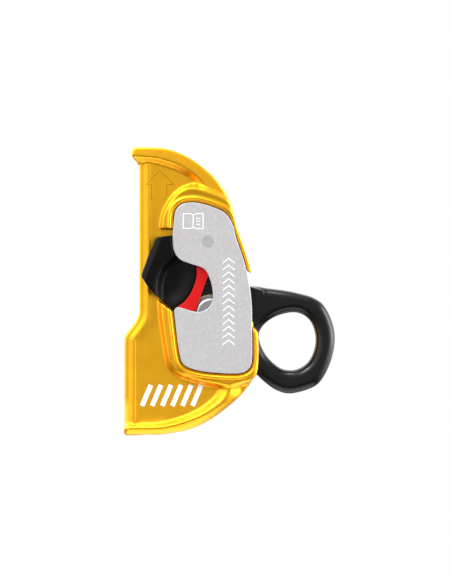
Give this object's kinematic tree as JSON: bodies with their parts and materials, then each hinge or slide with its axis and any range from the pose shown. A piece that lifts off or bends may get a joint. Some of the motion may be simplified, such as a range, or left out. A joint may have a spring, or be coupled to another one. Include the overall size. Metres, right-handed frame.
{
  "type": "cam rope clamp",
  "caption": "Hand-sized rope clamp: U-section forged body round a rope trough, sprung cam with a connector eye, and spring catches under side plates that keep the cam's axle seated.",
  "frame": {"origin": "on the centreline of the rope in the trough, level with the cam's axle, half way through the thickness", "axes": "+Z along the rope towards the upper lip, +X from the rope towards the connector eye, +Y through the thickness from the front cover plate to the rear one"},
  "size_m": [0.103, 0.0342, 0.14],
  "materials": {
    "gold_anodised": "satin gold anodised forging",
    "grey_anodised": "bead-blasted clear anodised sheet",
    "black_anodised": "satin black anodised forging",
    "stainless": "turned and fine ground",
    "spring_steel": "drawn wire",
    "black_nylon": "satin moulded nylon",
    "red_nylon": "satin moulded nylon"
  },
  "bodies": {
    "body": {"frame": "gold_anodised", "front_cover_plate": "grey_anodised", "rear_cover_plate": "grey_anodised", "front_catch_rivet": "stainless", "rear_catch_rivet": "stainless", "front_catch_sleeve": "stainless", "rear_catch_sleeve": "stainless", "front_plate_studs": "stainless", "rear_plate_studs": "stainless"},
    "cam_assembly": {"cam": "black_anodised", "axle": "stainless", "front_axle_washer": "stainless", "rear_axle_washer": "stainless", "cam_spring": "spring_steel"},
    "front_catch_body": {"front_catch": "black_nylon", "front_catch_indicator": "red_nylon", "front_catch_spring": "spring_steel"},
    "rear_catch_body": {"rear_catch": "black_nylon", "rear_catch_indicator": "red_nylon", "rear_catch_spring": "spring_steel"}
  },
  "joints": [
    {"name": "cam_pivot", "type": "hinge", "parent": "body", "child": "cam_assembly", "pos_m": [0.02455, 0, 0], "axis": [0, -1, 0], "range_deg": [0, 56], "stiffness_Nm_per_rad": 0.02, "springref_deg": -57.3},
    {"name": "front_catch_pivot", "type": "hinge", "parent": "body", "child": "front_catch_body", "pos_m": [0.02305, -0.0124, 0.0347], "axis": [0, 1, 0], "range_deg": [0, 9], "stiffness_Nm_per_rad": 0.05, "springref_deg": -28.65},
    {"name": "rear_catch_pivot", "type": "hinge", "parent": "body", "child": "rear_catch_body", "pos_m": [0.02305, 0.0124, 0.0347], "axis": [0, 1, 0], "range_deg": [0, 9], "stiffness_Nm_per_rad": 0.05, "springref_deg": -28.65}
  ]
}
